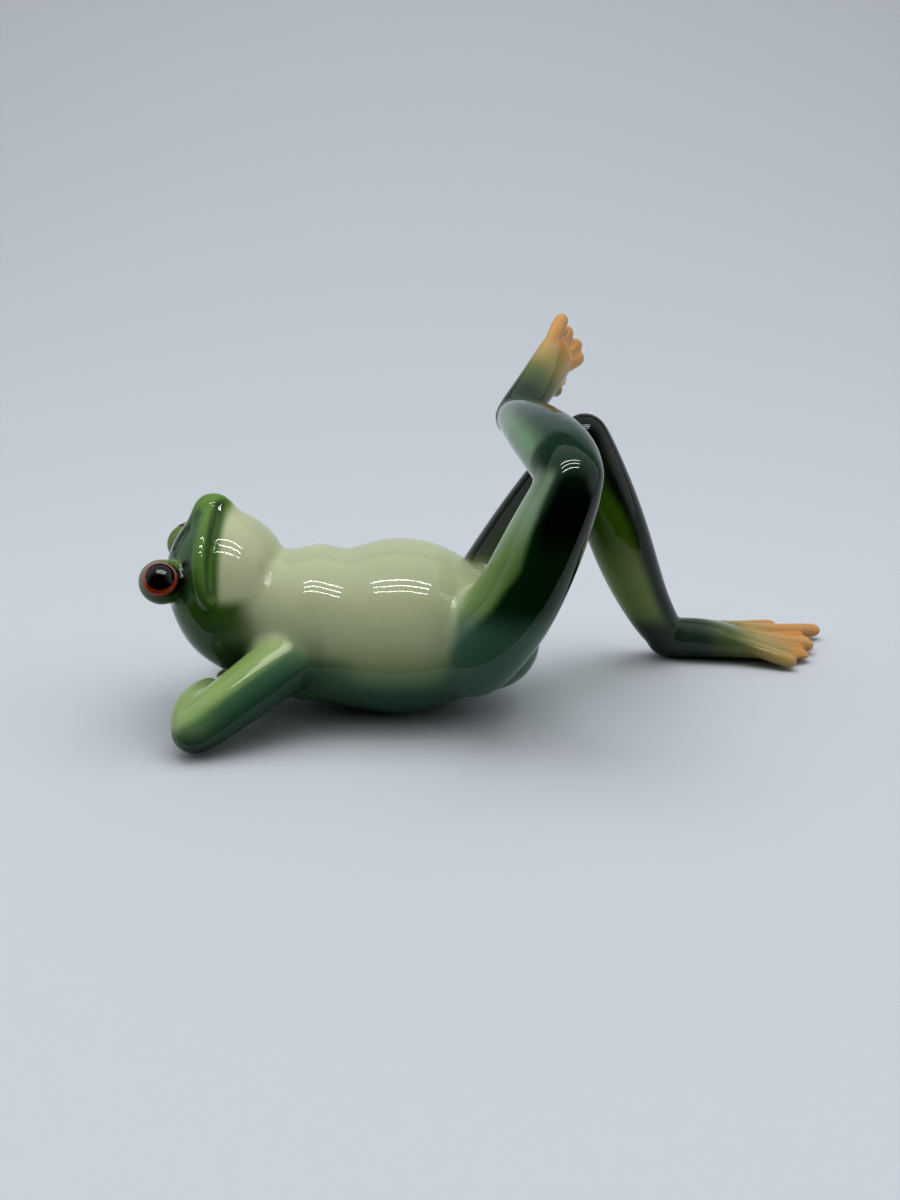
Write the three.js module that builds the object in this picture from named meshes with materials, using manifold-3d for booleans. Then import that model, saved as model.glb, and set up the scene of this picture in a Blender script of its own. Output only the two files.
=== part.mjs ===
// A glazed porcelain tree frog that lies on its back, head on its folded arms, right leg over left knee.
// Millimetres. +X runs to the feet, +Y to the frog's left, +Z up. Z = 0 is the table it rests on.
// Each node is one slip casting. The castings meet at luted seams.
import * as THREE from 'three';
import { mergeVertices } from 'three/addons/utils/BufferGeometryUtils.js';
import Module from 'manifold-3d';

const wasm = await Module();
wasm.setup();

// ---- driving dimensions ----
const SEAM = 0.3;             // gap left at a luted seam
const WALL = 3.2;             // thickness of the cast shell
const VENT_DIAMETER = 7;      // kiln vent in the underside
const VENT_AT = [9, 0, 6];
const CAP_ROWS = 3;           // rings in each rounded end
const BODY_SIDES = 24;
const LIMB_SIDES = 14;
const TOE_SIDES = 8;
const TABLE_BLOCK = [400, 400, 60];
const BACK_FLAT_CENTRE = [-9, 0, 0];   // where the back rests on the table: the origin of the part

const UP = [0, 0, 1];
const FOOT_WARD = [1, 0, 0];

// A station is [x, y, z, half width, half height] of the section there.
const TORSO = [
  [-37.5, 0, 23, 16.0, 15.2],
  [-32, 0, 21, 19.2, 19.3],
  [-26, 0, 19.8, 19.2, 18.7],
  [-19, 0, 19.6, 20.4, 20.5],
  [-12, 0, 20, 21.4, 21.5],
  [-4, 0, 19.3, 20.6, 20.5],
  [3, 0, 17.6, 17.8, 17.0],
  [8, 0, 16.5, 15.0, 13.5],
];
const HEAD = [
  [-47, 0, 15, 12.0, 9.0],
  [-51, 0, 21, 17.0, 13.0],
  [-53, 0, 29, 18.8, 14.0],
  [-53.5, 0, 37.4, 16.0, 14.1],
  [-54.9, 0, 44.3, 10.6, 9.9],
  [-55.4, 0, 48.2, 5.5, 5.4],
];
const HEAD_HOLLOW = [
  [-40, 0, 25, 6, 6],
  [-48, 0, 26, 7.5, 7],
  [-53, 0, 32, 8, 7],
];
const LIP = [
  [-54.6, -17.2, 32, 1.6, 1.6],
  [-55.4, -16.2, 38.1, 1.8, 1.8],
  [-55.2, -11.4, 44, 1.8, 1.8],
  [-55.3, -4.2, 49.6, 1.8, 1.8],
  [-55.3, 4.2, 49.6, 1.8, 1.8],
  [-55.2, 11.4, 44, 1.8, 1.8],
  [-55.4, 16.2, 38.1, 1.8, 1.8],
  [-54.6, 17.2, 32, 1.6, 1.6],
];
const EYE_RIGHT_AT = [-64.5, -14.8, 35.3];
const EYE_LEFT_AT = [-66.0, 14.8, 37.3];   // a little higher and nearer the crown than the right one
const EYE_RADIUS = 4.7;
const LID_RIGHT_AT = [-64.0, -12.8, 34.5];
const LID_LEFT_AT = [-65.5, 12.8, 36.5];
const LID_RADIUS = 5.9;

// Right arm and leg. The left arm mirrors the right; the left leg has its own pose.
const UPPER_ARM = [
  [-31, -11, 20, 8.6, 8.6],
  [-46, -22, 11.8, 6.8, 6.8],
  [-55.4, -28.6, 5.8, 5.9, 5.9],
];
const FOREARM = [
  [-56, -28, 6, 5.4, 5.4],
  [-57.4, -22.5, 8.2, 5.0, 5.0],
  [-55.5, -15.5, 8.4, 4.2, 4.2],
];
const PALM = [
  [-54.5, -14.5, 7.4, 4.2, 3.4],
  [-52.5, -8.6, 5.6, 5.2, 2.6],
];
const FINGER_TIPS = [
  [-57.5, -3.2, 4.6],
  [-53.8, -1.9, 4.6],
  [-50.2, -2.2, 4.6],
  [-46.8, -4.4, 4.8],
];
const FINGER_RADIUS = 1.5;

const THIGH_RIGHT = [
  [5, -11, 17, 10.5, 11.5],
  [13.6, -15.5, 28, 9.8, 9.9],
  [17.8, -19.5, 39, 9.2, 9.2],
  [21.4, -23, 49.3, 8.3, 8.2],
  [24.6, -25.2, 58.6, 7.2, 7.0],
];
const SHIN_RIGHT = [
  [24.9, -24.4, 60.2, 7.0, 6.8],
  [23.9, -12, 63.6, 8.4, 7.2],
  [21, 4, 66.2, 8.2, 6.6],
  [18.6, 18, 67.2, 6.6, 5.8],
  [17.2, 29, 66.6, 5.4, 5.2],
];
const FOOT_RIGHT = [
  [16.4, 33, 66.8, 5.2, 5.0],
  [22.7, 41, 73.1, 6.4, 4.6],
  [27.9, 49, 79.3, 7.2, 3.6],
  [31.1, 54, 83.4, 7.4, 2.8],
];
const FOOT_RIGHT_FACES = [0.73, -0.64, 0.19];
const TOES_RIGHT = [
  [[28.6, 51.5, 85.2], [31.4, 56.0, 91.0]],
  [[30.6, 54.0, 83.4], [33.5, 60.0, 87.7]],
  [[32.4, 55.0, 80.8], [36.5, 62.0, 84.2]],
  [[32.6, 54.0, 78.4], [37.1, 61.0, 80.7]],
  [[28.0, 46.5, 74.4], [31.1, 50.0, 72.4]],
];

const THIGH_LEFT = [
  [5, 11, 16.5, 10.5, 11],
  [10.5, 13.5, 27, 9.6, 9.4],
  [18, 16, 40, 8.6, 8.4],
  [25.8, 18, 51.6, 7.4, 7.4],
  [32.2, 19.7, 60.6, 6.7, 6.5],
];
const SHIN_LEFT = [
  [33.8, 20.2, 62.2, 6.5, 6.5],
  [41, 24, 45, 8.0, 8.0],
  [47.3, 27, 30, 8.0, 8.0],
  [54, 30, 16, 6.8, 6.6],
  [59.5, 32, 8, 6.0, 6.0],
];
const FOOT_LEFT = [
  [61, 32.2, 5.4, 5.6, 5.8],
  [71, 32.2, 5.6, 6.8, 5.8],
  [81, 33.2, 4.4, 9.4, 4.5],
  [90, 34.6, 3.2, 12.0, 3.2],
  [97, 36.6, 2.4, 12.4, 2.3],
];
const TOES_LEFT = [
  [[82, 26.8, 3.2], [92.2, 21.4, 2.5]],
  [[91, 33.2, 3.2], [101.6, 34.0, 2.6]],
  [[94, 40.4, 3.2], [108.5, 46.8, 2.6]],
  [[88, 43.4, 3.0], [97, 51.5, 2.4]],
];
const TOE_ROOT_RADIUS = 3.0;
const TOE_TIP_RADIUS = 2.4;

// ---- solids from three.js shapes ----
function toSolid(geometry) {
  const bare = geometry.clone();
  bare.deleteAttribute('normal');
  bare.deleteAttribute('uv');
  const merged = mergeVertices(bare, 1e-4);
  const mesh = new wasm.Mesh({
    numProp: 3,
    vertProperties: new Float32Array(merged.attributes.position.array),
    triVerts: new Uint32Array(merged.index.array),
  });
  return new wasm.Manifold(mesh);
}

function toGeometry(solid) {
  const mesh = solid.getMesh();
  const geometry = new THREE.BufferGeometry();
  geometry.setAttribute('position', new THREE.BufferAttribute(new Float32Array(mesh.vertProperties), 3));
  geometry.setIndex(new THREE.BufferAttribute(new Uint32Array(mesh.triVerts), 1));
  geometry.computeVertexNormals();
  return geometry;
}

// A sphere drawn out along the stations: its poles are the rounded ends, its rows are the sections.
function drawnOut(stations, { faces = UP, sides = LIMB_SIDES, grow = 0, perGap = 2 } = {}) {
  const spine = new THREE.CatmullRomCurve3(stations.map((s) => new THREE.Vector3(s[0], s[1], s[2])));
  const sizes = new THREE.CatmullRomCurve3(stations.map((s) => new THREE.Vector3(s[3], s[4], 0)));
  const bodyRows = (stations.length - 1) * perGap;
  const rows = bodyRows + 2 * CAP_ROWS;
  const sphere = new THREE.SphereGeometry(1, sides, rows);
  const position = sphere.attributes.position;
  const hint = new THREE.Vector3(...faces);
  for (let row = 0; row <= rows; row += 1) {
    const along = Math.min(Math.max((row - CAP_ROWS) / bodyRows, 0), 1);
    const size = sizes.getPoint(along);
    const tangent = spine.getTangent(along);
    const side = new THREE.Vector3().crossVectors(tangent, hint).normalize();
    const top = new THREE.Vector3().crossVectors(side, tangent).normalize();
    const intoCap = Math.max(CAP_ROWS - row, row - CAP_ROWS - bodyRows, 0) / CAP_ROWS;
    const capAngle = intoCap * Math.PI / 2;
    const capLength = Math.min(size.x, size.y) + grow;
    const outward = row < CAP_ROWS ? -1 : 1;
    const centre = spine.getPoint(along).addScaledVector(tangent, outward * capLength * Math.sin(capAngle));
    const shrink = intoCap === 1 ? 0 : Math.cos(capAngle);
    for (let column = 0; column <= sides; column += 1) {
      const around = (column % sides) / sides * 2 * Math.PI;
      const point = centre.clone()
        .addScaledVector(side, (size.x + grow) * shrink * Math.cos(around))
        .addScaledVector(top, (size.y + grow) * shrink * Math.sin(around));
      position.setXYZ(row * (sides + 1) + column, point.x, point.y, point.z);
    }
  }
  return toSolid(sphere);
}

function ball(at, radius, sides = 20) {
  const sphere = new THREE.SphereGeometry(radius, sides, Math.round(sides * 0.6));
  sphere.translate(...at);
  return toSolid(sphere);
}

function largestPiece(solid) {
  const pieces = solid.decompose();
  return pieces.reduce((best, piece) => (piece.volume() > best.volume() ? piece : best));
}

function mirrored(stations) {
  return stations.map(([x, y, ...rest]) => [x, -y, ...rest]);
}

function cutBy(solid, neighbours) {
  return neighbours.reduce((left, neighbour) => left.subtract(neighbour), solid);
}

const tableBlock = new THREE.BoxGeometry(...TABLE_BLOCK);
tableBlock.translate(0, 0, -TABLE_BLOCK[2] / 2);
const belowTable = toSolid(tableBlock);

// ---- whole shapes, before the seams are cut; `grow` makes the copy that cuts a neighbour ----
const torso = (grow) => drawnOut(TORSO, { sides: BODY_SIDES, grow });

const head = (grow) => {
  const skull = drawnOut(HEAD, { faces: FOOT_WARD, sides: BODY_SIDES, grow });
  const lip = drawnOut(LIP, { faces: FOOT_WARD, sides: TOE_SIDES, grow });
  const lids = [LID_RIGHT_AT, LID_LEFT_AT].map((at) => ball(at, LID_RADIUS + grow));
  return skull.add(lip).add(lids[0]).add(lids[1]);
};

const foot = (sole, faces, toes, grow) => {
  let body = drawnOut(sole, { faces, grow });
  for (const [root, tip] of toes) {
    const stations = [[...root, TOE_ROOT_RADIUS, TOE_ROOT_RADIUS], [...tip, TOE_TIP_RADIUS, TOE_TIP_RADIUS]];
    body = body.add(drawnOut(stations, { faces, sides: TOE_SIDES, grow }));
  }
  return body;
};

const hand = (palm, tips, grow) => {
  let body = drawnOut(palm, { grow, perGap: 2 });
  const wrist = palm[palm.length - 1];
  for (const tip of tips) {
    const root = [wrist[0] + (tip[0] - wrist[0]) * 0.3, wrist[1], wrist[2]];
    const stations = [[...root, FINGER_RADIUS, FINGER_RADIUS], [...tip, FINGER_RADIUS, FINGER_RADIUS]];
    body = body.add(drawnOut(stations, { sides: TOE_SIDES, grow, perGap: 1 }));
  }
  return body;
};

const shapes = {
  torso_shell: torso,
  head_shell: head,
  eye_right: (grow) => ball(EYE_RIGHT_AT, EYE_RADIUS + grow),
  eye_left: (grow) => ball(EYE_LEFT_AT, EYE_RADIUS + grow),
  upper_arm_right: (grow) => drawnOut(UPPER_ARM, { grow }),
  upper_arm_left: (grow) => drawnOut(mirrored(UPPER_ARM), { grow }),
  forearm_right: (grow) => drawnOut(FOREARM, { grow }),
  forearm_left: (grow) => drawnOut(mirrored(FOREARM), { grow }),
  hand_right: (grow) => hand(PALM, FINGER_TIPS, grow),
  hand_left: (grow) => hand(mirrored(PALM), mirrored(FINGER_TIPS), grow),
  thigh_right: (grow) => drawnOut(THIGH_RIGHT, { faces: FOOT_WARD, grow }),
  thigh_left: (grow) => drawnOut(THIGH_LEFT, { faces: FOOT_WARD, grow }),
  shin_right: (grow) => drawnOut(SHIN_RIGHT, { grow }),
  shin_left: (grow) => drawnOut(SHIN_LEFT, { faces: FOOT_WARD, grow }),
  foot_right: (grow) => foot(FOOT_RIGHT, FOOT_RIGHT_FACES, TOES_RIGHT, grow),
  foot_left: (grow) => foot(FOOT_LEFT, UP, TOES_LEFT, grow),
};

// Which castings a casting is trimmed against, so that the two meet at a seam.
const trimmedBy = {
  torso_shell: [],
  head_shell: ['torso_shell', 'eye_right', 'eye_left'],
  eye_right: [],
  eye_left: [],
  upper_arm_right: ['torso_shell', 'head_shell'],
  upper_arm_left: ['torso_shell', 'head_shell'],
  forearm_right: ['upper_arm_right', 'head_shell'],
  forearm_left: ['upper_arm_left', 'head_shell'],
  hand_right: ['forearm_right', 'upper_arm_right', 'head_shell', 'torso_shell'],
  hand_left: ['forearm_left', 'upper_arm_left', 'head_shell', 'torso_shell'],
  thigh_right: ['torso_shell'],
  thigh_left: ['torso_shell', 'thigh_right'],
  shin_right: ['thigh_right'],
  shin_left: ['thigh_left', 'shin_right'],
  foot_right: ['shin_right'],
  foot_left: ['shin_left'],
};

// ---- the hollows of the two body castings ----
function shrunk(stations, by) {
  return stations.map(([x, y, z, wide, high]) => [x, y, z, wide - by, high - by]);
}
const torsoHollow = drawnOut(shrunk(TORSO, WALL), { sides: LIMB_SIDES });
const ventTool = new THREE.CylinderGeometry(VENT_DIAMETER / 2, VENT_DIAMETER / 2, 20, 24);
ventTool.rotateX(Math.PI / 2);
ventTool.translate(...VENT_AT);
const vent = toSolid(ventTool);
const headHollow = drawnOut(HEAD_HOLLOW);

// ---- glaze colour of each casting ----
const colours = {
  torso_shell: 0xb9c493,
  head_shell: 0x5f7b3c,
  eye_right: 0x16100e,
  eye_left: 0x16100e,
  upper_arm_right: 0x7b9455,
  upper_arm_left: 0x7b9455,
  forearm_right: 0x4f6b3c,
  forearm_left: 0x4f6b3c,
  hand_right: 0x6c7a48,
  hand_left: 0x6c7a48,
  thigh_right: 0x1d3b1d,
  thigh_left: 0x4a5b2c,
  shin_right: 0x6f8a70,
  shin_left: 0x5d742a,
  foot_right: 0xa48a4c,
  foot_left: 0x93945f,
};
const GLAZE_ROUGHNESS = 0.12;

// ---- build every casting ----
const frog = new THREE.Group();
frog.name = 'reclining_frog_figurine';
for (const [name, shape] of Object.entries(shapes)) {
  let casting = cutBy(shape(0), trimmedBy[name].map((other) => shapes[other](SEAM)));
  if (name === 'torso_shell') {
    casting = casting.subtract(torsoHollow).subtract(vent);
  }
  if (name === 'head_shell') {
    casting = casting.subtract(headHollow);
  }
  casting = largestPiece(casting.subtract(belowTable));
  const material = new THREE.MeshStandardMaterial({
    color: colours[name],
    roughness: GLAZE_ROUGHNESS,
    metalness: 0,
  });
  const mesh = new THREE.Mesh(toGeometry(casting), material);
  mesh.geometry.translate(...BACK_FLAT_CENTRE.map((value) => -value));
  mesh.name = name;
  frog.add(mesh);
}

export default frog;
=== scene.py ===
# A glazed porcelain tree frog, lying on its back with one leg crossed over the other knee.
# It is put together here as the maker does it: cast forms are luted together and sponged smooth,
# tooled, sprayed with underglaze colours, dipped in clear glaze, and given painted eyes.
import bpy
import math
import numpy as np
from mathutils import Matrix, Vector


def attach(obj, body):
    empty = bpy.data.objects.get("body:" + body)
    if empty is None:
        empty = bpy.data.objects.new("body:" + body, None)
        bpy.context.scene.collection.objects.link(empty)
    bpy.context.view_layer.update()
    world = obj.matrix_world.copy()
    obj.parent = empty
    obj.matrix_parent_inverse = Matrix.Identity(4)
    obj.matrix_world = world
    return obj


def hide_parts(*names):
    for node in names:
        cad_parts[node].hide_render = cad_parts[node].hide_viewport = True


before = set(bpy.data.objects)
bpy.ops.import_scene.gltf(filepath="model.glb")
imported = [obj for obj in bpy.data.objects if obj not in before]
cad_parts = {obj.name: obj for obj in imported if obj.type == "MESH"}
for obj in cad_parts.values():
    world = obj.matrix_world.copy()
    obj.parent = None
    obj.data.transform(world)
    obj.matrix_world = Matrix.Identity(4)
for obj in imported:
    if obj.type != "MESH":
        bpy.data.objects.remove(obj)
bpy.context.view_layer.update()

# ---- The studio ----
# A pale paper sweep in a small soft white tent that is open towards the camera. Three lamp tubes
# hang side by side above the frog, and their thin parallel reflections run over the glaze.
def paint(hexcode):
    """An sRGB hex colour as linear red, green, blue."""
    channels = [int(hexcode[i:i + 2], 16) / 255 for i in (1, 3, 5)]
    return [c / 12.92 if c <= 0.04045 else ((c + 0.055) / 1.055) ** 2.4 for c in channels]


def node(tree, kind, links=(), **settings):
    """Add a node, set its properties or sockets by name, and link sockets into it."""
    made = tree.nodes.new(kind)
    for name, value in settings.items():
        if hasattr(made, name):
            setattr(made, name, value)
        else:
            made.inputs[name.replace("_", " ")].default_value = value
    for socket, source in links:
        tree.links.new(source, made.inputs[socket])
    return made


bpy.context.scene.view_settings.view_transform = "Standard"
bpy.context.scene.view_settings.look = "Medium High Contrast"
SWEEP_PAPER = "#dfe3e6"
SWEEP_FRONT, SWEEP_JOIN, SWEEP_FOLD, SWEEP_TOP, SWEEP_WIDE = -0.15, -0.036, 0.55, 1.5, 3.2
SWEEP_LEAN, FOLD_SIZE, FOLD_STEPS = 0.35, 0.5, 24


def lay_paper(name, front, back):
    """A flat sheet on the table, from front to back."""
    bpy.ops.object.select_all(action="DESELECT")
    bpy.ops.mesh.primitive_plane_add(size=1, location=(0, (front + back) / 2, 0))
    made = bpy.context.object
    made.name = name
    made.scale = (SWEEP_WIDE, back - front, 1)
    bpy.ops.object.transform_apply(location=True, scale=True)
    return made


apron = lay_paper("paper_apron", SWEEP_FRONT, SWEEP_JOIN)
sweep = lay_paper("paper_sweep", SWEEP_JOIN, SWEEP_FOLD)
for vertex in sweep.data.vertices:
    vertex.select = vertex.co.y > 0
for edge in sweep.data.edges:
    edge.select = all(sweep.data.vertices[v].co.y > 0 for v in edge.vertices)
for face in sweep.data.polygons:
    face.select = False
bpy.ops.object.mode_set(mode="EDIT")
bpy.ops.mesh.select_mode(type="EDGE")
bpy.ops.mesh.extrude_region_move(TRANSFORM_OT_translate={"value": (0, SWEEP_LEAN, SWEEP_TOP)})
bpy.ops.object.mode_set(mode="OBJECT")
fold = sweep.modifiers.new("fold", "BEVEL")
fold.width, fold.segments, fold.limit_method = FOLD_SIZE, FOLD_STEPS, "ANGLE"
bpy.ops.object.modifier_apply(modifier="fold")
bpy.ops.object.shade_smooth()
# Matt uncoated paper scatters light evenly and shows no highlight.
paper = bpy.data.materials.new("matt_white_paper")
paper.use_nodes = True
sheet = paper.node_tree.nodes["Principled BSDF"]
sheet.inputs["Base Color"].default_value = (*paint(SWEEP_PAPER), 1)
sheet.inputs["Roughness"].default_value = 0.7
sheet.inputs["Specular IOR Level"].default_value = 0.25
sweep.data.materials.append(paper)
apron.data.materials.append(paper)
# The glaze mirrors the dark room in front, and not the strip of paper that lies before it.
apron.visible_glossy = False

# The tent is white above, behind and at the sides, and dim where it is open in front.
world = bpy.data.worlds.new("light_tent")
bpy.context.scene.world = world
world.use_nodes = True
tree = world.node_tree
tree.nodes.clear()
direction = node(tree, "ShaderNodeTexCoord")
split = node(tree, "ShaderNodeSeparateXYZ", [("Vector", direction.outputs["Generated"])])
below = node(tree, "ShaderNodeMath", [(0, split.outputs["Z"])], operation="MINIMUM")
below.inputs[1].default_value = 0
forward = node(tree, "ShaderNodeMath", [(0, below.outputs["Value"]), (2, split.outputs["Y"])],
               operation="MULTIPLY_ADD")
forward.inputs[1].default_value = 1.5
opening = node(tree, "ShaderNodeMapRange", [("Value", forward.outputs["Value"])],
               interpolation_type="SMOOTHSTEP", From_Min=-0.80, From_Max=-0.10)
tent = node(tree, "ShaderNodeMix", [("Factor", opening.outputs["Result"])], data_type="RGBA")
tent.inputs[6].default_value = (*paint("#0e1011"), 1)
tent.inputs[7].default_value = (*paint("#eff2f5"), 1)
glow = node(tree, "ShaderNodeBackground", [("Color", tent.outputs[2])], Strength=0.87)
node(tree, "ShaderNodeOutputWorld", [("Surface", glow.outputs["Background"])])


def lamp(name, at, aim, size, watts, tint="#ffffff"):
    """A rectangular lamp that faces a point."""
    data = bpy.data.lights.new(name, "AREA")
    data.shape = "RECTANGLE"
    data.size, data.size_y = size
    data.energy = watts
    data.color = paint(tint)
    made = bpy.data.objects.new(name, data)
    bpy.context.collection.objects.link(made)
    made.location = at
    made.rotation_euler = (Vector(aim) - Vector(at)).to_track_quat("-Z", "Y").to_euler()
    return made


TUBE_LENGTH, TUBE_WIDTH, TUBE_HEIGHT, TUBE_MIDDLE = 0.22, 0.0045, 0.262, 0.003
TUBES_Y, TUBE_WATTS = (-0.135, -0.098, -0.061), 0.12
# The tubes light the frog only, and leave the paper evenly grey.
frog_only = bpy.data.collections.new("not_the_paper")
for paper_part in (sweep, apron):
    frog_only.objects.link(paper_part)
for excluded in frog_only.collection_objects:
    excluded.light_linking.link_state = "EXCLUDE"
for number, tube_y in enumerate(TUBES_Y):
    tube = lamp(f"lamp_tube_{number + 1}", (TUBE_MIDDLE, tube_y, TUBE_HEIGHT), (TUBE_MIDDLE, tube_y, 0),
                (TUBE_LENGTH, TUBE_WIDTH), TUBE_WATTS)
    tube.light_linking.receiver_collection = frog_only
# Behind the cloth roof, so it has no edge to reflect.
roof = lamp("tent_roof", (0.0, 0.25, 1.0), (0, 0, 0), (1.1, 0.7), 3.6, "#f6f9ff")
roof.visible_glossy = False

CAMERA_AT, CAMERA_TILT, CAMERA_LENS = (0.009, -0.2079, 0.0899), 73, 27.0
camera_data = bpy.data.cameras.new("camera")
camera_data.lens, camera_data.sensor_width, camera_data.clip_start = CAMERA_LENS, 36, 0.01
camera = bpy.data.objects.new("camera", camera_data)
camera.location = CAMERA_AT
camera.rotation_euler = (math.radians(CAMERA_TILT), 0, 0)
bpy.context.collection.objects.link(camera)
bpy.context.scene.camera = camera


# ---- Torso ----
# The chest, belly and rump are one slip casting in white porcelain, drained so that it is hollow.
# Forms are made in millimetres, and set to size when fired.
def cast_form(name, stations, top=(0, 0, 1), around=20):
    """A form drawn along its stations: a ring at each, bridged, with rounded ends, then smoothed."""
    places = [Vector(s[:3]) for s in stations]
    rings = []
    for i, station in enumerate(stations):
        along = (places[min(i + 1, len(places) - 1)] - places[max(i - 1, 0)]).normalized()
        rings.append((places[i], along, station[3], station[4]))
    ends = []
    for (place, along, wide, high), way in ((rings[0], -1), (rings[-1], 1)):
        reach = min(wide, high)
        cap = [(place + along * way * reach * math.sin(a), along, wide * math.cos(a), high * math.cos(a))
               for a in (math.radians(34), math.radians(62), math.radians(83))]
        ends.append(cap)
    rings = ends[0][::-1] + rings + ends[1]
    bpy.ops.object.select_all(action="DESELECT")
    for i, (place, along, wide, high) in enumerate(rings):
        side = along.cross(Vector(top)).normalized()
        up = side.cross(along)
        turn = Matrix((side, up, -along)).transposed()
        bpy.ops.mesh.primitive_circle_add(vertices=around, radius=1, location=place, rotation=turn.to_euler())
        if i == 0:
            form = bpy.context.object
            form.name = name
            bpy.ops.object.transform_apply(location=True, rotation=True)
            bpy.ops.object.mode_set(mode="EDIT")
        bpy.ops.transform.resize(value=(wide, high, 1), orient_matrix=turn, center_override=place)
    bpy.ops.mesh.select_all(action="SELECT")
    bpy.ops.mesh.bridge_edge_loops()
    bpy.ops.mesh.select_all(action="SELECT")
    bpy.ops.mesh.fill_holes(sides=0)
    bpy.ops.mesh.select_all(action="SELECT")
    bpy.ops.mesh.normals_make_consistent(inside=False)
    bpy.ops.object.mode_set(mode="OBJECT")
    smoothing = form.modifiers.new("smooth", "SUBSURF")
    smoothing.levels = smoothing.render_levels = 2
    bpy.ops.object.modifier_apply(modifier="smooth")
    return form


def fade(value, start, end):
    """0 before start, 1 after end, smooth between; start may be above end."""
    t = np.clip((value - start) / (end - start), 0, 1)
    return t * t * (3 - 2 * t)


def near_path(at, path):
    """How far every point is from the path's surface, or from its line where it has no radius."""
    nearest = np.full(len(at), 1e9)
    for i in range(len(path) - 1):
        a, b = np.array(path[i][:3], float), np.array(path[i + 1][:3], float)
        t = np.clip(((at - a) @ (b - a)) / ((b - a) @ (b - a)), 0, 1)
        radius = path[i][3] * (1 - t) + path[i + 1][3] * t if len(path[i]) > 3 else 0
        distance = np.linalg.norm(at - (a + t[:, None] * (b - a)), axis=1) - radius
        nearest = np.minimum(nearest, distance)
    return nearest


def spray(base, colour, amount):
    """Spray a colour over a base by an amount from 0 to 1 at each point."""
    amount = np.clip(amount, 0, 1)[:, None]
    return base * (1 - amount) + np.array(paint(colour)) * amount


def turned(facing, *way):
    """How far each point faces a direction, from -1 to 1."""
    return facing @ (np.array(way, float) / np.linalg.norm(way))


def on_side(stations, way):
    """Stations drawn for the frog's right side (way -1), or mirrored to its left (way 1)."""
    return [(x, -way * y, *rest) for x, y, *rest in stations]


TORSO = [(-41.5, 0, 23.0, 16.2, 16.0), (-35, 0, 21.3, 19.6, 20.2), (-27.5, 0, 19.6, 18.8, 18.5),
         (-20, 0, 19.5, 20.7, 20.8), (-12.5, 0, 20.0, 21.7, 22.0), (-4.5, 0, 19.4, 20.9, 20.9),
         (3, 0, 17.5, 18.0, 17.2), (9, 0, 16.3, 14.4, 13.2)]
big_forms = [cast_form("torso", TORSO, around=28)]


def stain_torso(at, facing):
    """Cream slip on the belly and chest, blue-green on the back, where it turns under."""
    x, y, z = at.T
    c = np.tile(np.array(paint("#a4aa8a")), (len(at), 1))
    c = spray(c, "#98a27a", fade(z, 24, 17))
    c = spray(c, "#6a885e", 0.9 * fade(z, 19.5, 13) * fade(facing[:, 2], 0.35, -0.1))
    c = spray(c, "#3b5d4a", fade(z, 15, 8.5) * fade(facing[:, 2], 0.15, -0.35))
    c = spray(c, "#4a6a4a", fade(x, -18, -27) * fade(z, 21, 14))
    hip = x - 0.2 * (z - 9.5)
    c = spray(c, "#46562c", fade(y, 3, 9) * fade(x, -1, 4))
    return spray(c, "#466653", fade(hip, -3.4, 0.4) * fade(z, 31, 25))


# ---- Head ----
# Skull, snout and throat are one casting. The upper lip is a roll of clay, and the eyelids are
# pads, laid on before it dries. The mouth line, nostrils and folds are tooled in later.
SKULL = [(-46, 0, 15, 12.0, 9.8), (-51, 0, 21, 16.9, 13.4), (-52.9, 0, 29, 18.3, 14.4),
         (-53.4, 0, 37.2, 15.6, 14.4), (-55.0, 0, 44.2, 10.6, 10.3), (-55.3, 0, 47.2, 5.5, 5.6)]
big_forms.append(cast_form("skull", SKULL, top=(1, 0, 0), around=28))
UPPER_LIP = [(-53.9, -17.2, 31.2, 1.7, 1.7), (-55.0, -17.2, 34.4, 2.0, 2.0), (-55.5, -16.2, 38.1, 2.0, 2.0),
             (-55.3, -12.9, 42.4, 2.1, 2.1), (-55.3, -8.6, 46.2, 2.1, 2.1), (-55.2, -3.4, 48.6, 2.0, 2.0)]
fine_forms = [cast_form("upper_lip", UPPER_LIP + on_side(UPPER_LIP, 1)[::-1], top=(1, 0, 0), around=12)]
# The left lid sits a little higher and nearer the crown than the right one.
LIDS, LID_RADIUS = {-1: Vector((-64.6, -13.5, 34.7)), 1: Vector((-66.1, 13.5, 36.9))}, 5.15
GAZES = {-1: Vector((0.153, -0.889, 0.430)).normalized(), 1: Vector((0.20, 0.62, 0.76)).normalized()}
BROW = [(-58.5, -9.0, 32.0, 6.0, 6.0), (-61.5, -10.6, 33.8, 5.4, 5.4)]
for way in (-1, 1):
    bpy.ops.object.select_all(action="DESELECT")
    bpy.ops.mesh.primitive_uv_sphere_add(segments=40, ring_count=24, radius=LID_RADIUS, location=LIDS[way])
    bpy.ops.object.transform_apply(location=True)
    fine_forms.append(bpy.context.object)
    fine_forms.append(cast_form("brow", on_side(BROW, way), around=16))
MOUTH_LINE = [(-52.4, -18.2, 33.2), (-52.7, -17.2, 37.6), (-52.9, -13.8, 42.6), (-52.9, -9.0, 46.9),
              (-53.0, -3.4, 50.0)]
MOUTH_LINE += on_side(MOUTH_LINE, 1)[::-1]
NOSTRIL = [(-61.6, -6.0, 45.4), (-63.4, -7.6, 41.6)]
CHEEK_FOLD = [(-60.2, -17.2, 30.5), (-60.2, -16.6, 34.0), (-60.0, -13.6, 38.6)]
LIP_FOLD = [(-58.2, -17.0, 34.0), (-58.7, -13.9, 40.4), (-59.0, -9.6, 45.2), (-58.4, -5.0, 48.6)]


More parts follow.
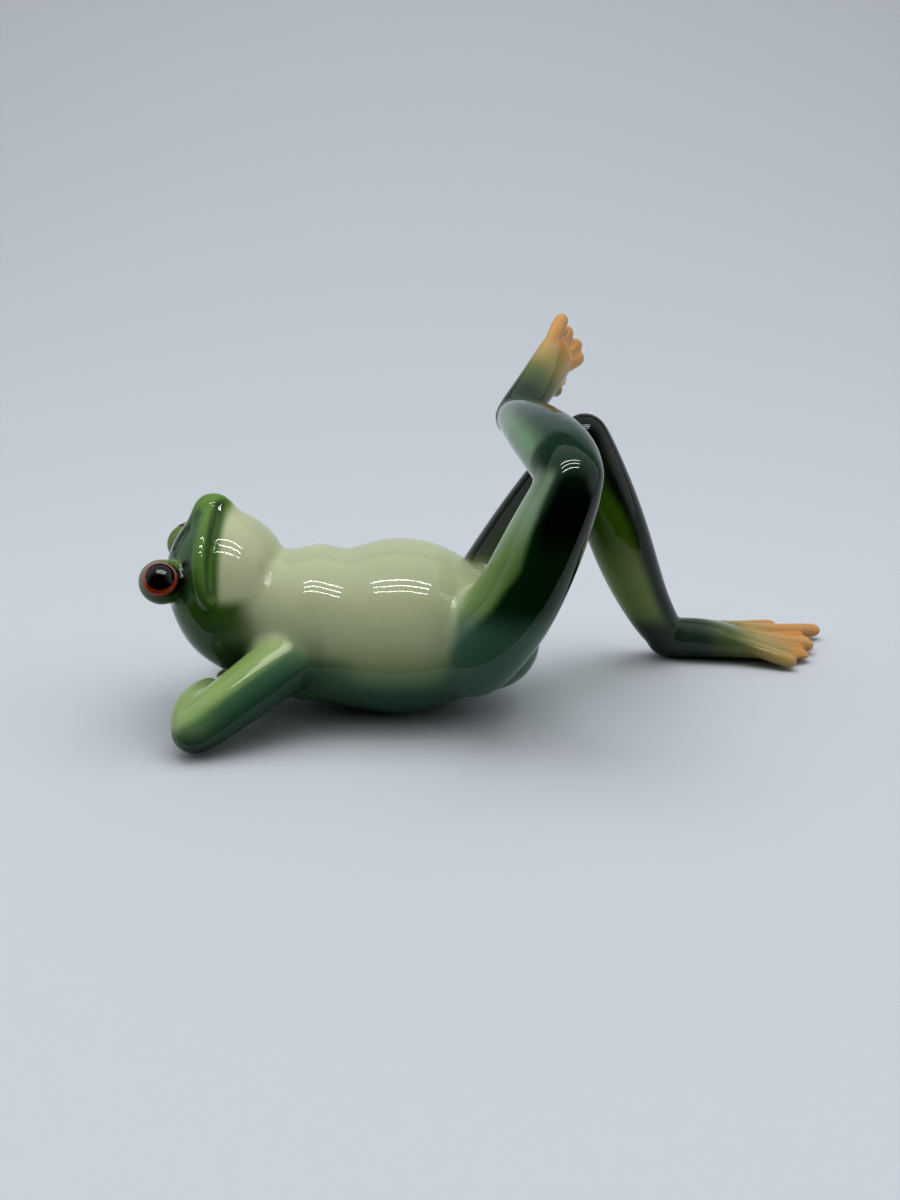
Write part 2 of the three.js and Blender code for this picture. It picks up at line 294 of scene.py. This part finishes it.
def stain_head(at, facing):
    """Leaf green over the top and the lips, cream on the throat with dark green painted shade low down under
    the head, nearly black in the folds.
    """
    x, z = at[:, 0], at[:, 2]
    c = np.tile(np.array(paint("#a9ae8e")), (len(at), 1))
    c = spray(c, "#43632a", fade(x, -50.6, -52.4) * fade(z, 22, 27))
    c = spray(c, "#3c5a3a", fade(x, -56.6, -58.4))
    # Painted shade: the lowest part of the throat and neck, under the head and above the hands, is sprayed
    # dark green.
    c = spray(c, "#3c5a24", fade(z, 32.5, 29) * fade(x, -43.5, -48.5))
    c = spray(c, "#3c5836", fade(z, 29, 23) * fade(x, -39, -45))
    c = spray(c, "#5c7c33", fade(z, 46.5, 50.5) * fade(x, -49.8, -51.6))
    for way in (-1, 1):
        lip = near_path(at, on_side(UPPER_LIP, way))
        c = spray(c, "#587a36", 0.75 * fade(lip, 0.5, 0.0) * fade(turned(facing, 0.3, 0, 0.4), 0.0, 0.5))
        fold = near_path(at, on_side(LIP_FOLD, way))
        c = spray(c, "#24401a", 0.8 * fade(fold, 2.0, 0.5))
        nostril = near_path(at, on_side(NOSTRIL, way))
        c = spray(c, "#1a2c12", 0.9 * fade(nostril, 2.8, 1.2))
        fold = near_path(at, on_side(CHEEK_FOLD, way))
        c = spray(c, "#0a1205", fade(fold, 2.6, 1.2))
        off = at - np.array(LIDS[way])
        lid = np.linalg.norm(off, axis=1)
        green = np.tile(np.array(paint("#5c7134")), (len(at), 1))
        green = spray(green, "#2b4217", fade(off[:, 2], 0.5, -4.2))
        amount = (fade(lid, 6.6, 5.8) * fade(x, -60.0, -61.2))[:, None]
        c = c * (1 - amount) + green * amount
    mouth = near_path(at, MOUTH_LINE)
    return spray(c, "#142a08", 0.9 * fade(mouth, 2.1, 0.4))


# ---- Arms ----
# Each arm is two castings, folded back under the head so that the elbow stands on the table.
UPPER_ARM = [(-31, -9, 19.4, 7.6, 7.6), (-37.6, -16.4, 16.4, 7.3, 7.3), (-46.5, -22.8, 11.0, 6.6, 6.6),
             (-55.2, -28.5, 5.7, 5.8, 5.9)]
FOREARM = [(-56.2, -27.6, 6.4, 5.3, 5.3), (-57.4, -22.5, 8.4, 4.8, 4.8), (-55.8, -16.0, 9.0, 4.0, 4.0)]
PALM = [(-54.8, -14.5, 8.0, 4.2, 3.2), (-52.5, -8.6, 6.4, 5.2, 2.6)]
FINGERS = [[(-55.5, -9.0, 6.0), (-57.5, -3.4, 5.2)], [(-53.6, -8.0, 6.0), (-53.9, -2.0, 5.2)],
           [(-51.6, -8.0, 6.0), (-50.4, -2.4, 5.2)], [(-50.0, -9.5, 6.0), (-47.0, -4.6, 5.4)]]
for way in (-1, 1):
    big_forms.append(cast_form("upper_arm", on_side(UPPER_ARM, way)))
    big_forms.append(cast_form("forearm", on_side(FOREARM, way), around=16))
    fine_forms.append(cast_form("palm", on_side(PALM, way), around=16))
    for root, tip in FINGERS:
        joint = [(a + b) / 2 for a, b in zip(root, tip)]
        finger = [(*root, 1.7, 1.6), (*joint, 1.35, 1.35), (*tip, 1.75, 1.5)]
        fine_forms.append(cast_form("finger", on_side(finger, way), around=10))


def stain_arm(at, facing, way):
    """Light green along the top of the arm, dark bottle green below the ridge, and a painted contact shadow
    at the elbow.
    """
    x, z = at[:, 0], at[:, 2]
    c = np.tile(np.array(paint("#849c5f")), (len(at), 1))
    c = spray(c, "#4f6f42", 0.9 * fade(x, -39, -31))
    c = spray(c, "#44664a", fade(turned(facing, -0.42, way * -0.05, 1), 0.66, 0.30))
    c = spray(c, "#2f4c3b", fade(turned(facing, 0.25, way * 0.35, -1), -0.2, 0.6))
    # Painted contact shadow: nearly black where the elbow stands on the table.
    return spray(c, "#060a06", fade(z, 4.2, 0.8))


def stain_forearm(at, facing):
    """Light green above, darker underneath, and a nearly black painted contact shadow by the table."""
    z = at[:, 2]
    c = np.tile(np.array(paint("#8a9f6a")), (len(at), 1))
    c = spray(c, "#344a34", fade(facing[:, 2], 0.3, -0.4))
    # Painted contact shadow: nearly black where the forearm meets the table.
    return spray(c, "#0a120a", fade(z, 3.4, 0.4))


def stain_hand(at):
    """Olive hands, with tan fingertips where they meet under the head."""
    c = np.tile(np.array(paint("#5c6f48")), (len(at), 1))
    return spray(c, "#b08a55", 0.7 * fade(np.abs(at[:, 1]), 6.5, 3.0))


# ---- Legs ----
# Thigh and shin are separate castings. The right shin lies across the left knee and is luted to it.
THIGH_RIGHT = [(5, -11, 17, 11.0, 11.7), (13.6, -15.5, 28, 9.9, 10.0), (17.8, -19.5, 39, 9.4, 9.4),
               (21.3, -22.9, 49.3, 8.5, 8.4), (24.5, -25.1, 58.2, 7.4, 7.1)]
SHIN_RIGHT = [(24.9, -24.3, 60.0, 7.2, 6.9), (23.8, -13, 63.7, 8.4, 7.5), (20.9, 3, 66.0, 8.1, 6.8),
              (18.6, 17, 67.2, 6.6, 5.9), (17.2, 29, 66.8, 5.4, 5.2)]
THIGH_LEFT = [(5, 11, 16.5, 11.0, 11), (10.5, 13.5, 27, 9.8, 9.4), (18, 16, 40, 8.7, 8.4),
              (26, 18.2, 52, 7.5, 7.4), (32.4, 19.7, 60.8, 6.8, 6.6)]
SHIN_LEFT = [(33.9, 20.2, 62.6, 6.7, 6.6), (41.2, 24, 45, 8.1, 8.3), (47.3, 27, 30, 8.0, 8.2),
             (54, 30, 16, 6.5, 6.7), (59.5, 32, 8, 5.7, 6.0)]
for name, stations, top in (("thigh_right", THIGH_RIGHT, (1, 0, 0)), ("shin_right", SHIN_RIGHT, (0, 0, 1)),
                            ("thigh_left", THIGH_LEFT, (1, 0, 0)), ("shin_left", SHIN_LEFT, (1, 0, 0))):
    big_forms.append(cast_form(name, stations, top=top, around=24))


def stain_thigh_right(at, facing):
    """Near-black bottle green on the outer face with a black painted reflection high on it, pale green along
    the front and back.
    """
    z = at[:, 2]
    c = np.tile(np.array(paint("#67824a")), (len(at), 1))
    c = spray(c, "#7d937a", 0.8 * fade(z, 43, 54))
    outer = turned(facing, 0.46, -0.86, 0.06) + 0.22 * fade(z, 36, 60) + 0.12 * fade(z, 42, 35)
    c = spray(c, "#0a2c0c", fade(outer, 0.48, 0.66))
    # Painted reflection: the dark room in front, mirrored as a near-black patch high on the outer face.
    c = spray(c, "#010301", fade(outer, 0.60, 0.85) * fade(z, 42, 52))
    c = spray(c, "#0c2a18", fade(z, 60.5, 63.5))
    return spray(c, "#446451", fade(z, 33, 24))


def stain_shin_right(at, facing):
    """Blue-green below, dark along the top, and nearly black at the knee and the ankle."""
    y = at[:, 1]
    c = np.tile(np.array(paint("#648560")), (len(at), 1))
    c = spray(c, "#263a30", fade(turned(facing, 0.45, -0.1, 0.85), -0.1, 0.62))
    c = spray(c, "#42544a", 0.8 * fade(y, 6, 17))
    c = spray(c, "#0c2a18", fade(y, -17.5, -21.5))
    return spray(c, "#121a14", fade(y, 23, 30) * fade(turned(facing, -1, 0.3, -0.3), -0.2, 0.5))


def stain_thigh_left(at, facing):
    """Olive, nearly black on the side towards the head and at the knee."""
    z = at[:, 2]
    c = np.tile(np.array(paint("#455426")), (len(at), 1))
    c = spray(c, "#101a0a", fade(turned(facing, -1, 0.25, 0.35), 0.0, 0.66))
    c = spray(c, "#33502e", fade(z, 24, 14) * fade(facing[:, 2], 0.3, -0.3))
    return spray(c, "#0a1608", fade(z, 56, 62))


def stain_shin_left(at, facing):
    """Leaf green, nearly black down the outer side and at the knee."""
    z = at[:, 2]
    c = np.tile(np.array(paint("#43600f")), (len(at), 1))
    c = spray(c, "#738748", fade(z, 40, 24))
    outer = turned(facing, 1, 0.3, 0.45) + 0.35 * fade(z, 40, 56)
    c = spray(c, "#08120a", fade(outer, -0.20, 0.32))
    c = spray(c, "#050d06", fade(z, 55, 61))
    return spray(c, "#2a3a2c", fade(z, 17, 9))


# ---- Feet ----
# Long webbed feet, pressed in a small mould, with a ridge over the bone of each toe.
SOLE_RIGHT = (0.73, -0.64, 0.19)
FOOT_RIGHT = [(16.4, 33.0, 66.8, 5.1, 4.9), (22.7, 41, 73.1, 6.1, 4.6), (27.9, 49, 79.3, 6.9, 3.4),
              (31.1, 54, 83.4, 6.9, 2.4)]
FOOT_LEFT = [(61, 32.2, 5.4, 5.6, 5.8), (71, 32.2, 5.6, 6.8, 5.8), (81, 33.2, 4.1, 9.4, 4.2),
             (90, 34.6, 2.6, 12.0, 2.6), (97, 36.8, 1.9, 12.6, 1.7)]
TOES_RIGHT = [[(20.5, 39.5, 75.8), (26.8, 48.8, 83.6), (31.2, 56, 91.0)],
              [(21.5, 39.5, 75.2), (28.8, 51.5, 82.4), (33.4, 60, 87.7)],
              [(22.5, 39.5, 74.6), (30.4, 52.5, 80.4), (36.3, 62, 84.2)],
              [(23.2, 40.0, 73.4), (30.8, 51.5, 78.0), (36.9, 61, 80.7)],
              [(23.0, 40.5, 71.2), (26.8, 45.4, 73.2), (29.4, 48.2, 72.8)]]
TOES_LEFT = [[(71, 28.4, 8.8), (82, 25.8, 5.0), (92.2, 21.4, 2.5)],
             [(71, 30.8, 9.6), (87, 32.2, 5.2), (101.6, 34.0, 2.6)],
             [(71, 33.6, 9.6), (89, 39.8, 5.0), (108.5, 46.8, 2.6)],
             [(71, 36.0, 8.8), (84, 43.8, 4.6), (97, 51.5, 2.4)]]
WEBS_RIGHT = [[(26.5, 47.5, 81.6), (31.4, 56.8, 87.6)], [(28.2, 50.0, 80.6), (33.6, 59.4, 84.6)],
              [(29.0, 50.5, 78.8), (34.6, 59.6, 81.6)], [(27.6, 47.5, 75.6), (31.4, 53.2, 76.4)]]
WEBS_LEFT = [[(84, 28.8, 3.2), (95.0, 27.4, 2.0)], [(90, 36.0, 3.0), (103.0, 40.4, 2.0)],
             [(87, 43.2, 2.8), (99.6, 48.6, 1.9)]]
big_forms.append(cast_form("foot_right", FOOT_RIGHT, top=SOLE_RIGHT))
big_forms.append(cast_form("foot_left", FOOT_LEFT))
HEEL_KNOB = [(15.2, 31.4, 66.4, 3.4, 3.4), (14.4, 32.8, 64.9, 2.5, 2.5)]
big_forms.append(cast_form("heel", HEEL_KNOB, top=SOLE_RIGHT, around=12))
for toes, webs, wide, top in ((TOES_RIGHT, WEBS_RIGHT, 3.4, SOLE_RIGHT),
                              (TOES_LEFT, WEBS_LEFT, 4.6, (0, 0, 1))):
    for ankle, knuckle, tip in toes:
        pad = [(a + 3 * b) / 4 for a, b in zip(knuckle, tip)]
        toe = [(*ankle, 0.9, 0.9), (*knuckle, 2.0, 1.9), (*pad, 2.4, 2.2), (*tip, 2.3, 2.1)]
        fine_forms.append(cast_form("toe", toe, top=top, around=12))
    for root, edge in webs:
        fine_forms.append(cast_form("web", [(*root, wide, 1.9), (*edge, wide, 1.5)], top=top, around=12))


def stain_foot(at, way):
    """Dark green heel, fading through olive to orange toes."""
    foot, toes = (FOOT_RIGHT, TOES_RIGHT) if way == -1 else (FOOT_LEFT, TOES_LEFT)
    heel = np.array(foot[0][:3], float)
    end = np.mean([np.array(toe[2], float) for toe in toes[:4]], axis=0)
    run = ((at - heel) @ (end - heel)) / ((end - heel) @ (end - heel))
    run *= 1 if way == -1 else 0.86
    c = np.tile(np.array(paint("#2b3b30")), (len(at), 1))
    c = spray(c, "#55633c", fade(run, 0.14, 0.38))
    c = spray(c, "#938650", fade(run, 0.32, 0.58))
    c = spray(c, "#c48a44", fade(run, 0.58, 0.84))
    for ankle, knuckle, tip in toes:
        bone = near_path(at, [ankle, knuckle, tip])
        c = spray(c, "#c8a06c", 0.5 * fade(bone, 3.4, 1.8) * fade(run, 0.40, 0.66))
    return c


# ---- Luting and sponging ----
# The castings are stuck together with slip, and the joints are filled and wiped with a wet
# sponge until the whole frog is one skin with soft hollows where the limbs meet.
def lute(forms, name, grain, wipes):
    """Join forms into one skin with this grain in millimetres, and smooth it."""
    bpy.ops.object.select_all(action="DESELECT")
    for form in forms:
        form.select_set(True)
    bpy.context.view_layer.objects.active = forms[0]
    bpy.ops.object.join()
    skin = bpy.context.object
    skin.name = name
    fuse = skin.modifiers.new("fuse", "REMESH")
    fuse.mode, fuse.voxel_size = "VOXEL", grain
    bpy.ops.object.modifier_apply(modifier="fuse")
    sponge = skin.modifiers.new("sponge", "SMOOTH")
    sponge.factor, sponge.iterations = 0.5, wipes
    bpy.ops.object.modifier_apply(modifier="sponge")
    return skin


def read_clay(skin, what):
    """The places or normals of every point of the clay."""
    flat = np.empty(len(skin.data.vertices) * 3)
    skin.data.vertices.foreach_get(what, flat)
    return flat.reshape(-1, 3)


BIG_GRAIN, BIG_WIPES, FINE_GRAIN, FINE_WIPES = 0.8, 12, 0.5, 4
body = lute(big_forms, "frog_clay", BIG_GRAIN, BIG_WIPES)
body = lute([body] + fine_forms, "frog_body", FINE_GRAIN, FINE_WIPES)

# The mouth line, nostrils and folds are pressed in with a boxwood tool: path, width, depth.
at, facing = read_clay(body, "co"), read_clay(body, "normal")
press = np.zeros(len(at))
STROKES = [(MOUTH_LINE, 1.7, 0.4)]
for way in (-1, 1):
    STROKES += [(on_side(NOSTRIL, way), 1.8, 0.4), (on_side(CHEEK_FOLD, way), 2.0, 0.9)]
    STROKES += [(on_side(LIP_FOLD, way), 1.8, 0.35)]
for path, width, depth in STROKES:
    away = near_path(at, path)
    press = np.maximum(press, depth * fade(away, width, 0.2))
at = at - facing * press[:, None]
# Whatever lies below the table's level is rubbed flat on a glass plate.
at[:, 2] = np.maximum(at[:, 2], 0.0)
body.data.vertices.foreach_set("co", at.ravel())
body.data.update()
wipe = body.modifiers.new("wipe", "SMOOTH")
wipe.factor, wipe.iterations = 0.5, 2
bpy.ops.object.modifier_apply(modifier="wipe")
bpy.ops.object.shade_smooth()

# ---- Underglaze colours ----
# Colour stains are airbrushed on the clay, casting by casting. Where two castings meet, their
# colours fade into each other over a few millimetres. The flat of the back is left bare.
at, facing = read_clay(body, "co"), read_clay(body, "normal")
castings = {"torso": (near_path(at, TORSO), stain_torso(at, facing), "torso_glaze"),
            "head": (near_path(at, SKULL), stain_head(at, facing), "head_glaze")}
for side, way in (("right", -1), ("left", 1)):
    reach = near_path(at, on_side(UPPER_ARM, way))
    castings[f"upper_arm_{side}"] = (reach, stain_arm(at, facing, way), "arm_glaze")
    reach = near_path(at, on_side(FOREARM, way))
    castings[f"forearm_{side}"] = (reach, stain_forearm(at, facing), "arm_glaze")
    reach = near_path(at, on_side(PALM, way))
    for root, tip in FINGERS:
        reach = np.minimum(reach, near_path(at, on_side([(*root, 1.6), (*tip, 1.6)], way)))
    castings[f"hand_{side}"] = (reach, stain_hand(at), "hand_glaze")
    thigh, shin, foot, toes = ((THIGH_RIGHT, SHIN_RIGHT, FOOT_RIGHT, TOES_RIGHT) if way == -1
                               else (THIGH_LEFT, SHIN_LEFT, FOOT_LEFT, TOES_LEFT))
    stain_thigh = stain_thigh_right if way == -1 else stain_thigh_left
    stain_shin = stain_shin_right if way == -1 else stain_shin_left
    castings[f"thigh_{side}"] = (near_path(at, thigh), stain_thigh(at, facing), "thigh_glaze")
    castings[f"shin_{side}"] = (near_path(at, shin), stain_shin(at, facing), "shin_glaze")
    reach = near_path(at, foot)
    for ankle, knuckle, tip in toes:
        reach = np.minimum(reach, near_path(at, [(*knuckle, 2.0), (*tip, 2.3)]))
    castings[f"foot_{side}"] = (reach, stain_foot(at, way), "foot_glaze")

BLEND_WIDTH, BARE_CLAY = 1.2, "#d9d2c2"
depths = np.stack([depth for depth, colour, slot in castings.values()])
closest = depths.min(axis=0)
weights = np.exp(-(depths - closest) / BLEND_WIDTH)
sprayed = sum(colour * weight[:, None] for (depth, colour, slot), weight in zip(castings.values(), weights))
sprayed /= weights.sum(axis=0)[:, None]
# Painted shadow: a dark line along the crease where the ankle goes in behind the calf, with an orange accent
# along its far part.
ANKLE_CREASE = [(18.0, 33.5, 72.6), (24.0, 26.0, 71.6), (28.5, 14.0, 70.4)]
crease_shadow = near_path(at, ANKLE_CREASE)
sprayed = spray(sprayed, "#2a3826", 0.8 * fade(crease_shadow, 1.6, 0.4))
accent = near_path(at, ANKLE_CREASE[1:])
sprayed = spray(sprayed, "#8a6a34", 0.8 * fade(accent, 1.1, 0.3))
bare = fade(at[:, 2], 0.12, 0.02)
sprayed = spray(sprayed, BARE_CLAY, bare * (np.abs(at[:, 1]) < 14) * (at[:, 0] < 30))
layer = body.data.color_attributes.new("underglaze", "FLOAT_COLOR", "POINT")
layer.data.foreach_set("color", np.column_stack((sprayed, 1 - bare)).astype(np.float32).ravel())
wiped = body.data.attributes.new("wiped_skin", "FLOAT_VECTOR", "POINT")
wiped.data.foreach_set("vector", facing.astype(np.float32).ravel())

# ---- Clear glaze ----
# A clear glassy glaze, fired to a mirror gloss over the stains. It is never quite level, so long
# reflections waver a little, and the stains under it are faintly speckled and cloudy.
glaze = bpy.data.materials.new("clear_glazed_porcelain")
glaze.use_nodes = True
tree = glaze.node_tree
shader = tree.nodes["Principled BSDF"]
stain = node(tree, "ShaderNodeVertexColor", layer_name="underglaze")
where = node(tree, "ShaderNodeTexCoord")
speckle = node(tree, "ShaderNodeTexNoise", [("Vector", where.outputs["Object"])], Scale=1100.0,
               Detail=3.0, Roughness=0.6)
cloud = node(tree, "ShaderNodeTexNoise", [("Vector", where.outputs["Object"])], Scale=70.0, Detail=3.0)
mottle = node(tree, "ShaderNodeMapRange", [("Value", speckle.outputs["Fac"])], From_Min=0.3, From_Max=0.7,
              To_Min=0.97, To_Max=1.03)
drift = node(tree, "ShaderNodeMapRange", [("Value", cloud.outputs["Fac"])], From_Min=0.3, From_Max=0.7,
             To_Min=0.95, To_Max=1.04)
strength = node(tree, "ShaderNodeMath", [(0, mottle.outputs["Result"]), (1, drift.outputs["Result"])],
                operation="MULTIPLY")
toned = node(tree, "ShaderNodeVectorMath",
             [(0, stain.outputs["Color"]), ("Scale", strength.outputs["Value"])], operation="SCALE")
tree.links.new(toned.outputs["Vector"], shader.inputs["Base Color"])
gloss = node(tree, "ShaderNodeMapRange", [("Value", stain.outputs["Alpha"])], To_Min=0.6, To_Max=0.045)
tree.links.new(gloss.outputs["Result"], shader.inputs["Roughness"])
waver = node(tree, "ShaderNodeTexNoise", [("Vector", where.outputs["Object"])], Scale=130.0, Detail=1.0)
level = node(tree, "ShaderNodeBump", [("Height", waver.outputs["Fac"])], Strength=0.20, Distance=0.0004)
tree.links.new(level.outputs["Normal"], shader.inputs["Normal"])
shader.inputs["IOR"].default_value = 1.5
shader.inputs["Specular IOR Level"].default_value = 0.38

# ---- Firing ----
# The clay takes its final size, and its place: the back's flat lies 9 mm towards the head from
# the belly's middle.
BACK_FLAT, MM = 9.0, 0.001
bpy.ops.object.select_all(action="DESELECT")
body.select_set(True)
bpy.context.view_layer.objects.active = body
body.location = (BACK_FLAT / 1000, 0, 0)
body.scale = (MM, MM, MM)
bpy.ops.object.transform_apply(location=True, rotation=True, scale=True)
body.data.materials.append(glaze)

# ---- The castings, parted at their luted seams ----
# Each casting is its own piece: the skin's faces that lie nearest its form, closed across each
# seam. It keeps the normals of the whole skin, so the glaze runs over the seams unbroken.
WALL, VENT_RADIUS, VENT_DEPTH, VENT_AT = 4.2, 3.5, 18, (9, 0, 5)


def cut(solid, tool, how):
    """Join or cut one solid with another, which is used up."""
    change = solid.modifiers.new("cut", "BOOLEAN")
    change.operation, change.object, change.solver = how, tool, "EXACT"
    bpy.context.view_layer.objects.active = solid
    bpy.ops.object.modifier_apply(modifier="cut")
    bpy.data.objects.remove(tool)
    solid.select_set(True)


def empty_out(casting):
    """Pour the slip out of the chest and cut the kiln vent, leaving bare clay inside."""
    core = [(x, y, z, wide - WALL, high - WALL) for x, y, z, wide, high in TORSO]
    inside = cast_form("hollow", core, around=16)
    bpy.ops.object.select_all(action="DESELECT")
    bpy.ops.mesh.primitive_cylinder_add(vertices=48, radius=VENT_RADIUS, depth=VENT_DEPTH,
                                        location=VENT_AT)
    bored = bpy.context.object
    bpy.ops.object.transform_apply(location=True)
    cut(bored, inside, "UNION")
    bored.location, bored.scale = (BACK_FLAT / 1000, 0, 0), (MM, MM, MM)
    bpy.ops.object.transform_apply(location=True, rotation=True, scale=True)
    cut(casting, bored, "DIFFERENCE")
    stains = casting.data.color_attributes["underglaze"].data
    tones = np.empty(len(stains) * 4, np.float32)
    stains.foreach_get("color", tones)
    tones = tones.reshape(-1, 4)
    tones[tones.sum(axis=1) < 0.001] = (*paint(BARE_CLAY), 0)
    stains.foreach_set("color", tones.ravel())


count = len(body.data.polygons)
starts = np.empty(count, int)
body.data.polygons.foreach_get("loop_start", starts)
corners = np.empty(len(body.data.loops), int)
body.data.loops.foreach_get("vertex_index", corners)
face_depth = np.stack([np.add.reduceat(depth[corners], starts) for depth in depths])
belongs = face_depth.argmin(axis=0)
for number, (name, (depth, colour, slot)) in enumerate(castings.items()):
    bpy.ops.object.select_all(action="DESELECT")
    body.select_set(True)
    bpy.context.view_layer.objects.active = body
    bpy.ops.object.duplicate()
    casting = bpy.context.object
    casting.name = f"{name}_casting"
    mesh = casting.data
    bpy.ops.object.mode_set(mode="EDIT")
    bpy.ops.mesh.select_mode(type="FACE")
    bpy.ops.object.mode_set(mode="OBJECT")
    mesh.polygons.foreach_set("select", belongs != number)
    bpy.ops.object.mode_set(mode="EDIT")
    bpy.ops.mesh.delete(type="FACE")
    bpy.ops.mesh.select_mode(type="EDGE")
    bpy.ops.mesh.select_all(action="DESELECT")
    bpy.ops.mesh.select_non_manifold()
    bpy.ops.mesh.extrude_edges_move()
    bpy.ops.mesh.merge(type="COLLAPSE")
    bpy.ops.mesh.select_all(action="SELECT")
    bpy.ops.mesh.normals_make_consistent(inside=False)
    bpy.ops.object.mode_set(mode="OBJECT")
    if name == "torso":
        empty_out(casting)
    normals = np.empty(len(mesh.vertices) * 3, np.float32)
    mesh.attributes["wiped_skin"].data.foreach_get("vector", normals)
    mesh.normals_split_custom_set_from_vertices(normals.reshape(-1, 3).tolist())
    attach(casting, "root")
    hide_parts(f"{name}_shell" if name in ("torso", "head") else name)
bpy.data.objects.remove(body)

# ---- Eyes ----
# Each eye is a ball pressed into its lid, with a large black pupil in a red ring, painted on and
# glazed over. The ring is broad and red below, thin and pale above.
BALL_RADIUS, BALL_FORWARD = 4.4, 1.55
PUPIL_FROM, PUPIL_TO, RING_FROM, RING_TO = 0.700, 0.722, 0.470, 0.505
for side, way in (("right", -1), ("left", 1)):
    gaze = GAZES[way]
    centre = LIDS[way] + gaze * BALL_FORWARD
    centre = (centre + Vector((BACK_FLAT, 0, 0))) / 1000
    bpy.ops.object.select_all(action="DESELECT")
    bpy.ops.mesh.primitive_uv_sphere_add(segments=64, ring_count=48, radius=BALL_RADIUS / 1000,
                                         location=centre, rotation=gaze.to_track_quat("Z", "Y").to_euler())
    eye = bpy.context.object
    eye.name = f"eyeball_{side}"
    bpy.ops.object.transform_apply(location=True, rotation=True, scale=True)
    bpy.ops.object.shade_smooth()
    enamel = bpy.data.materials.new(f"painted_eye_{side}")
    enamel.use_nodes = True
    tree = enamel.node_tree
    shader = tree.nodes["Principled BSDF"]
    where = node(tree, "ShaderNodeTexCoord")
    from_centre = node(tree, "ShaderNodeVectorMath", [(0, where.outputs["Object"])], operation="SUBTRACT")
    from_centre.inputs[1].default_value = centre
    outward = node(tree, "ShaderNodeVectorMath", [(0, from_centre.outputs["Vector"])], operation="NORMALIZE")
    pupil_way = (gaze + Vector((0.07, 0.0, 0.15))).normalized()
    toward_pupil = node(tree, "ShaderNodeVectorMath", [(0, outward.outputs["Vector"])],
                        operation="DOT_PRODUCT")
    toward_pupil.inputs[1].default_value = pupil_way
    toward_ring = node(tree, "ShaderNodeVectorMath", [(0, outward.outputs["Vector"])],
                       operation="DOT_PRODUCT")
    toward_ring.inputs[1].default_value = gaze
    height = node(tree, "ShaderNodeSeparateXYZ", [("Vector", outward.outputs["Vector"])])
    low_to_high = node(tree, "ShaderNodeMapRange", [("Value", height.outputs["Z"])], From_Min=0.0,
                       From_Max=0.95)
    ring = node(tree, "ShaderNodeMix", [("Factor", low_to_high.outputs["Result"])], data_type="RGBA")
    ring.inputs[6].default_value = (*paint("#93391f"), 1)
    ring.inputs[7].default_value = (*paint("#9a6b5d"), 1)
    pupil = node(tree, "ShaderNodeMapRange", [("Value", toward_pupil.outputs["Value"])],
                 From_Min=PUPIL_FROM, From_Max=PUPIL_TO)
    inside = node(tree, "ShaderNodeMix", [("Factor", pupil.outputs["Result"]), (6, ring.outputs[2])],
                  data_type="RGBA")
    inside.inputs[7].default_value = (*paint("#030303"), 1)
    rim = node(tree, "ShaderNodeMapRange", [("Value", toward_ring.outputs["Value"])],
               From_Min=RING_FROM, From_Max=RING_TO)
    whole = node(tree, "ShaderNodeMix", [("Factor", rim.outputs["Result"]), (7, inside.outputs[2])],
                 data_type="RGBA")
    whole.inputs[6].default_value = (*paint("#0c1206"), 1)
    tree.links.new(whole.outputs[2], shader.inputs["Base Color"])
    shader.inputs["Roughness"].default_value = 0.03
    eye.data.materials.append(enamel)
    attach(eye, "root")
    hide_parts(f"eye_{side}")
